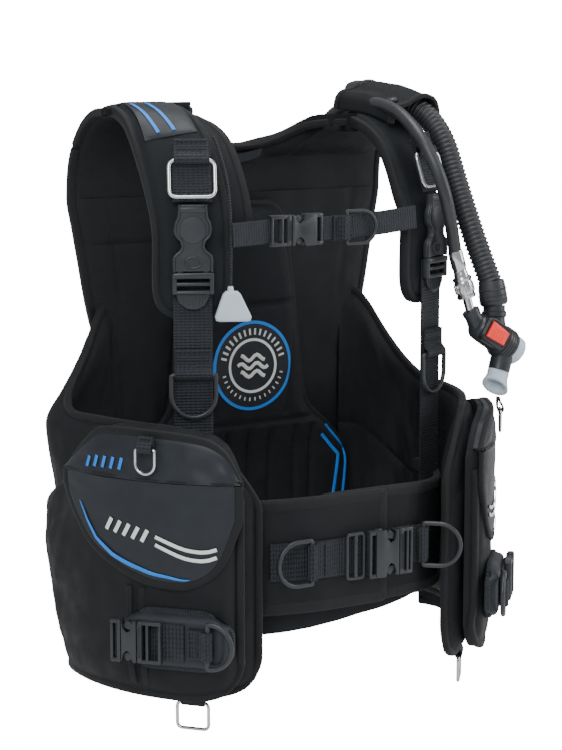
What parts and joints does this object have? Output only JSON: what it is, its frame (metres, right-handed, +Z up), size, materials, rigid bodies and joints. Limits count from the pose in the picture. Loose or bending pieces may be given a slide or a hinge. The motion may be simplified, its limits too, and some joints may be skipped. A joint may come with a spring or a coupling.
{
  "type": "buoyancy compensator vest",
  "caption": "Jacket-style buoyancy vest with padded shoulders, waist and chest straps, cargo pockets, pull-out weight pouches, an inflator on a hose and a cylinder band.",
  "frame": {"origin": "on the cylinder's axis, half way up the band that holds the cylinder", "axes": "+Z up along the cylinder, -Y the way the wearer faces, +X the wearer's left"},
  "size_m": [0.5166, 0.5557, 0.6524],
  "materials": {
    "shell_fabric": "matte woven polyester with a coated back",
    "pad_fabric": "matte padded fabric",
    "pocket_panel": "smooth coated fabric, slightly glossy",
    "webbing": "ribbed polyester webbing",
    "tank_webbing": "heavy webbing",
    "buckle_plastic": "fine-textured acetal",
    "steel": "polished stainless steel",
    "hose_rubber": "matte black rubber",
    "pull_line": "braided cord",
    "pale_silicone": "pale blue-grey moulded silicone",
    "blue_print": "printed blue line, slightly raised",
    "white_print": "printed white mark, slightly raised",
    "red_button": "satin red-orange plastic"
  },
  "bodies": {
    "root": {"back_air_cell": "shell_fabric", "back_pads": "pad_fabric", "backpack_saddle": "buckle_plastic", "cam_base": "buckle_plastic", "cam_pin": "steel", "carry_handle": "buckle_plastic", "chest_clip": "buckle_plastic", "chest_socket": "buckle_plastic", "corrugated_hose": "hose_rubber", "coupler_nipple": "steel", "cummerbund_left": "shell_fabric", "cummerbund_right": "shell_fabric", "hose_coupler": "steel", "hose_cuff": "buckle_plastic", "hose_sleeve": "shell_fabric", "inflator_housing": "buckle_plastic", "lp_fitting": "steel", "lp_hose": "hose_rubber", "mouthpiece": "pale_silicone", "pocket_left": "shell_fabric", "pocket_right": "shell_fabric", "pouch_sockets": "buckle_plastic", "pull_cord": "pull_line", "shoulder_clips": "buckle_plastic", "shoulder_elbow": "buckle_plastic", "shoulder_pads": "pad_fabric", "shoulder_sockets": "buckle_plastic", "shoulder_valve": "buckle_plastic", "side_lobe_left": "shell_fabric", "side_lobe_right": "shell_fabric", "tank_band": "tank_webbing", "waist_clip": "buckle_plastic", "waist_slider": "buckle_plastic", "waist_socket": "buckle_plastic", "webbing": "webbing", "yoke": "shell_fabric"},
    "shoulder_ring_right": {"shoulder_ring_right": "steel"},
    "strap_ring_right": {"strap_ring_right": "buckle_plastic"},
    "pocket_ring_right": {"pocket_ring_right": "steel"},
    "hem_ring_right": {"hem_ring_right": "steel"},
    "shoulder_ring_left": {"shoulder_ring_left": "steel"},
    "strap_ring_left": {"strap_ring_left": "buckle_plastic"},
    "pocket_ring_left": {"pocket_ring_left": "steel"},
    "hem_ring_left": {"hem_ring_left": "steel"},
    "chest_ring": {"chest_ring": "buckle_plastic"},
    "waist_ring_right": {"waist_ring_right": "buckle_plastic"},
    "waist_ring_left": {"waist_ring_left": "buckle_plastic"},
    "pocket_flap_right": {"pocket_flap_right": "pocket_panel"},
    "weight_pouch_right": {"weight_pouch_right": "shell_fabric", "pouch_clip_right": "buckle_plastic", "pouch_handle_right": "buckle_plastic"},
    "pocket_flap_left": {"pocket_flap_left": "pocket_panel"},
    "weight_pouch_left": {"weight_pouch_left": "shell_fabric", "pouch_clip_left": "buckle_plastic", "pouch_handle_left": "buckle_plastic"},
    "inflate_button": {"inflate_button": "red_button"},
    "deflate_button": {"deflate_button": "pale_silicone"},
    "coupler_collar": {"coupler_collar": "steel"},
    "pull_knob": {"pull_knob": "pale_silicone"},
    "cam_lever": {"cam_lever": "buckle_plastic"}
  },
  "joints": [
    {"name": "shoulder_ring_right_swing", "type": "hinge", "parent": "root", "child": "shoulder_ring_right", "pos_m": [-0.14361, -0.29487, 0.24812], "axis": [-0.9063, 0.4226, 0], "range_deg": [0, 110]},
    {"name": "strap_ring_right_swing", "type": "hinge", "parent": "root", "child": "strap_ring_right", "pos_m": [-0.14879, -0.30598, 0.032], "axis": [-0.9063, 0.4226, 0], "range_deg": [0, 110]},
    {"name": "pocket_ring_right_swing", "type": "hinge", "parent": "root", "child": "pocket_ring_right", "pos_m": [-0.22994, -0.35256, -0.029], "axis": [-0.5592, 0.829, 0], "range_deg": [0, 110]},
    {"name": "hem_ring_right_swing", "type": "hinge", "parent": "root", "child": "hem_ring_right", "pos_m": [-0.16772, -0.33392, -0.3], "axis": [-0.6428, 0.766, 0], "range_deg": [-60, 60]},
    {"name": "shoulder_ring_left_swing", "type": "hinge", "parent": "root", "child": "shoulder_ring_left", "pos_m": [0.14361, -0.29487, 0.24812], "axis": [-0.9063, -0.4226, 0], "range_deg": [0, 4]},
    {"name": "strap_ring_left_swing", "type": "hinge", "parent": "root", "child": "strap_ring_left", "pos_m": [0.14879, -0.30598, 0.032], "axis": [-0.9063, -0.4226, 0], "range_deg": [0, 110]},
    {"name": "pocket_ring_left_swing", "type": "hinge", "parent": "root", "child": "pocket_ring_left", "pos_m": [0.21336, -0.34138, -0.031], "axis": [-0.5592, -0.829, 0], "range_deg": [0, 110]},
    {"name": "hem_ring_left_swing", "type": "hinge", "parent": "root", "child": "hem_ring_left", "pos_m": [0.16772, -0.33392, -0.3], "axis": [-0.6428, -0.766, 0], "range_deg": [-60, 60]},
    {"name": "chest_ring_swing", "type": "hinge", "parent": "root", "child": "chest_ring", "pos_m": [0.022, -0.3265, 0.175], "axis": [0, 0, -1], "range_deg": [0, 150]},
    {"name": "waist_ring_right_swing", "type": "hinge", "parent": "root", "child": "waist_ring_right", "pos_m": [-0.06, -0.39031, -0.156], "axis": [0, 0, 1], "range_deg": [0, 120]},
    {"name": "waist_ring_left_swing", "type": "hinge", "parent": "root", "child": "waist_ring_left", "pos_m": [0.082, -0.38434, -0.156], "axis": [0, 0, -1], "range_deg": [-8, 95]},
    {"name": "pocket_flap_right_lift", "type": "hinge", "parent": "root", "child": "pocket_flap_right", "pos_m": [-0.23619, -0.33392, -0.0615], "axis": [-0.4924, 0.8704, 0], "range_deg": [0, 75]},
    {"name": "weight_pouch_right_slide", "type": "slide", "parent": "root", "child": "weight_pouch_right", "axis": [0.6561, -0.7547, 0], "range_m": [0, 0.11]},
    {"name": "pocket_flap_left_lift", "type": "hinge", "parent": "root", "child": "pocket_flap_left", "pos_m": [0.21878, -0.32407, -0.0615], "axis": [-0.4924, -0.8704, 0], "range_deg": [0, 75]},
    {"name": "weight_pouch_left_slide", "type": "slide", "parent": "root", "child": "weight_pouch_left", "axis": [-0.6561, -0.7547, 0], "range_m": [0, 0.11]},
    {"name": "inflate_press", "type": "slide", "parent": "root", "child": "inflate_button", "axis": [0, 1, 0], "range_m": [0, 0.004], "stiffness_N_per_m": 500},
    {"name": "deflate_press", "type": "slide", "parent": "root", "child": "deflate_button", "axis": [-0.8446, 0.0345, 0.5343], "range_m": [0, 0.004], "stiffness_N_per_m": 500},
    {"name": "coupler_release", "type": "slide", "parent": "root", "child": "coupler_collar", "axis": [-0.2103, 0.1508, 0.9659], "range_m": [0, 0.005], "stiffness_N_per_m": 600},
    {"name": "valve_pull", "type": "slide", "parent": "root", "child": "pull_knob", "axis": [0, 0, -1], "range_m": [0, 0.009], "stiffness_N_per_m": 400},
    {"name": "cam_lever_turn", "type": "hinge", "parent": "root", "child": "cam_lever", "pos_m": [0.024, 0.116, 0], "axis": [0, 0, -1], "range_deg": [0, 110]}
  ]
}
